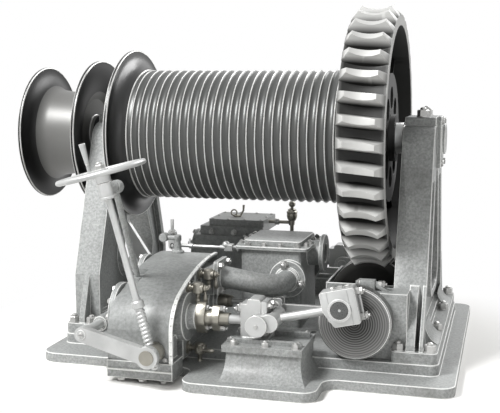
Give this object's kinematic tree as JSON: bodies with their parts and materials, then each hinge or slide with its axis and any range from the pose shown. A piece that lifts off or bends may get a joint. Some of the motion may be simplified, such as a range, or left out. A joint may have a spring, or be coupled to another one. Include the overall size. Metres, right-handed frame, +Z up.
{
  "type": "steam winch",
  "caption": "Steam winch with a grooved rope drum, a warping head and a large worm wheel turned by a worm between two horizontal engines on a cast bed.",
  "frame": {"origin": "centre of the underside of the bed, below the drum axis", "axes": "+X along the drum towards the worm wheel, +Y to the back away from the handwheel, +Z up"},
  "size_m": [2.125, 2.0875, 1.6],
  "materials": {
    "painted_casting": "satin machine enamel",
    "lagging_sheet": "satin enamelled sheet",
    "drum_iron": "turned grooves, worn",
    "black_iron": "polished black",
    "gear_iron": "cut teeth, oiled",
    "bright_steel": "bright turned",
    "brass": "machined",
    "friction_lining": "end-grain blocks"
  },
  "bodies": {
    "frame": {"bedplate": "painted_casting", "left_standard": "painted_casting", "right_standard": "painted_casting", "bearing_caps": "painted_casting", "bearing_bushes": "brass", "shaft_end_cover": "painted_casting", "front_cylinder": "painted_casting", "rear_cylinder": "painted_casting", "front_lagging": "lagging_sheet", "rear_lagging": "lagging_sheet", "rear_chest_cover": "lagging_sheet", "cylinder_heads": "painted_casting", "glands": "brass", "front_guide": "painted_casting", "rear_guide": "painted_casting", "control_chest": "painted_casting", "control_chest_cover": "painted_casting", "oil_cup": "brass", "front_steam_pipe": "painted_casting", "rear_steam_pipe": "painted_casting", "worm_trough": "painted_casting", "spindle_bracket": "painted_casting", "clutch_shaft_bearings": "painted_casting", "control_bracket": "painted_casting", "drain_cocks": "brass"},
    "wheel_train": {"worm_wheel": "gear_iron", "drum_shaft": "bright_steel", "warping_head": "black_iron"},
    "drum": {"drum_barrel": "drum_iron", "drum_flange": "black_iron", "thrust_bush": "brass", "clutch_lining": "friction_lining"},
    "worm_train": {"worm": "gear_iron", "worm_shaft": "bright_steel", "crank_discs": "bright_steel", "eccentric_sheaves": "bright_steel"},
    "clutch_lever_body": {"clutch_lever": "bright_steel", "clutch_arm": "bright_steel"},
    "clutch_nut_body": {"clutch_nut": "brass"},
    "swivel_body": {"spindle_swivel": "bright_steel"},
    "handwheel_body": {"handwheel": "bright_steel", "clutch_spindle": "bright_steel"},
    "control_rod_body": {"control_rod": "bright_steel"},
    "control_lever_body": {"control_lever": "bright_steel"},
    "front_crosshead_body": {"front_piston": "bright_steel", "front_crosshead": "bright_steel"},
    "front_rod_body": {"front_connecting_rod": "bright_steel"},
    "front_valve_body": {"front_valve_rod": "bright_steel"},
    "front_eccentric_body": {"front_eccentric_rod": "bright_steel"},
    "front_upper_cock_body": {"front_upper_cock": "brass"},
    "front_lower_cock_body": {"front_lower_cock": "brass"},
    "front_chest_cock_body": {"front_chest_cock": "brass"},
    "rear_crosshead_body": {"rear_piston": "bright_steel", "rear_crosshead": "bright_steel"},
    "rear_rod_body": {"rear_connecting_rod": "bright_steel"},
    "rear_valve_body": {"rear_valve_rod": "bright_steel"},
    "rear_eccentric_body": {"rear_eccentric_rod": "bright_steel"},
    "rear_upper_cock_body": {"rear_upper_cock": "brass"},
    "rear_lower_cock_body": {"rear_lower_cock": "brass"},
    "rear_chest_cock_body": {"rear_chest_cock": "brass"}
  },
  "joints": [
    {"name": "wheel_turn", "type": "hinge", "parent": "frame", "child": "wheel_train", "pos_m": [0.497, 0, 0.99], "axis": [1, 0, 0], "continuous": true},
    {"name": "drum_turn", "type": "hinge", "parent": "frame", "child": "drum", "pos_m": [-0.1, 0, 0.99], "axis": [1, 0, 0], "continuous": true},
    {"name": "worm_turn", "type": "hinge", "parent": "frame", "child": "worm_train", "pos_m": [0.497, 0, 0.253], "axis": [0, 1, 0], "continuous": true},
    {"name": "front_crosshead_slide", "type": "slide", "parent": "frame", "child": "front_crosshead_body", "axis": [1, 0, 0], "range_m": [-0.05389, 0.12611]},
    {"name": "front_rod_swing", "type": "hinge", "parent": "front_crosshead_body", "child": "front_rod_body", "pos_m": [0.11489, -0.69, 0.253], "axis": [0, 1, 0], "range_deg": [-2.06, 28.1]},
    {"name": "front_valve_slide", "type": "slide", "parent": "frame", "child": "front_valve_body", "axis": [1, 0, 0], "range_m": [-0.00468, 0.03532]},
    {"name": "front_eccentric_turn", "type": "hinge", "parent": "worm_train", "child": "front_eccentric_body", "pos_m": [0.48168, -0.37, 0.24014], "axis": [0, 1, 0], "continuous": true},
    {"name": "front_upper_cock_turn", "type": "hinge", "parent": "frame", "child": "front_upper_cock_body", "pos_m": [-0.145, -0.66, 0.372], "axis": [1, 0, 0], "range_deg": [0, 90]},
    {"name": "front_lower_cock_turn", "type": "hinge", "parent": "frame", "child": "front_lower_cock_body", "pos_m": [-0.168, -0.668, 0.1], "axis": [0, 1, 0], "range_deg": [-90, 0]},
    {"name": "front_chest_cock_turn", "type": "hinge", "parent": "frame", "child": "front_chest_cock_body", "pos_m": [-0.145, -0.508, 0.402], "axis": [1, 0, 0], "range_deg": [-90, 0]},
    {"name": "rear_crosshead_slide", "type": "slide", "parent": "frame", "child": "rear_crosshead_body", "axis": [1, 0, 0], "range_m": [-0.17088, 0.00912]},
    {"name": "rear_rod_swing", "type": "hinge", "parent": "rear_crosshead_body", "child": "rear_rod_body", "pos_m": [0.23188, 0.69, 0.253], "axis": [0, 1, 0], "range_deg": [-7.6, 22.55]},
    {"name": "rear_valve_slide", "type": "slide", "parent": "frame", "child": "rear_valve_body", "axis": [1, 0, 0], "range_m": [-0.00714, 0.03286]},
    {"name": "rear_eccentric_turn", "type": "hinge", "parent": "worm_train", "child": "rear_eccentric_body", "pos_m": [0.48414, 0.37, 0.26832], "axis": [0, 1, 0], "continuous": true},
    {"name": "rear_upper_cock_turn", "type": "hinge", "parent": "frame", "child": "rear_upper_cock_body", "pos_m": [-0.145, 0.66, 0.372], "axis": [1, 0, 0], "range_deg": [-90, 0]},
    {"name": "rear_lower_cock_turn", "type": "hinge", "parent": "frame", "child": "rear_lower_cock_body", "pos_m": [-0.168, 0.668, 0.1], "axis": [0, 1, 0], "range_deg": [-90, 0]},
    {"name": "rear_chest_cock_turn", "type": "hinge", "parent": "frame", "child": "rear_chest_cock_body", "pos_m": [-0.145, 0.508, 0.402], "axis": [1, 0, 0], "range_deg": [0, 90]},
    {"name": "clutch_lever_turn", "type": "hinge", "parent": "frame", "child": "clutch_lever_body", "pos_m": [-0.574, -0.5, 0.222], "axis": [0, 1, 0], "range_deg": [-1.2, 0]},
    {"name": "clutch_nut_turn", "type": "hinge", "parent": "clutch_lever_body", "child": "clutch_nut_body", "pos_m": [-0.29, -0.92, 0.145], "axis": [0, 1, 0], "range_deg": [-0.1, 1]},
    {"name": "spindle_swing", "type": "hinge", "parent": "frame", "child": "swivel_body", "pos_m": [-0.4651, -0.95253, 0.82206], "axis": [0, 1, 0], "range_deg": [-0.4, 0.1]},
    {"name": "handwheel_turn", "type": "hinge", "parent": "swivel_body", "child": "handwheel_body", "pos_m": [-0.4651, -0.95253, 0.82206], "axis": [-0.2501, -0.0436, 0.9672], "range_deg": [-120, 0]},
    {"name": "control_rod_slide", "type": "slide", "parent": "frame", "child": "control_rod_body", "axis": [1, 0, 0], "range_m": [-0.014, 0.014]},
    {"name": "control_lever_turn", "type": "hinge", "parent": "frame", "child": "control_lever_body", "pos_m": [-0.47, -0.167, 0.518], "axis": [0, 1, 0], "range_deg": [-14, 14]}
  ],
  "couplings": [
    {"joint": "drum_turn", "follows": "wheel_turn", "ratio": 1},
    {"joint": "worm_turn", "follows": "wheel_turn", "ratio": -36},
    {"joint": "front_eccentric_turn", "follows": "wheel_turn", "ratio": 36},
    {"joint": "rear_eccentric_turn", "follows": "wheel_turn", "ratio": 36},
    {"joint": "spindle_swing", "follows": "clutch_lever_turn", "ratio": 0.20808},
    {"joint": "clutch_nut_turn", "follows": "clutch_lever_turn", "ratio": -0.79192},
    {"joint": "handwheel_turn", "follows": "clutch_lever_turn", "ratio": 89.247},
    {"joint": "control_lever_turn", "follows": "control_rod_slide", "rad_per_m": -16.667}
  ]
}
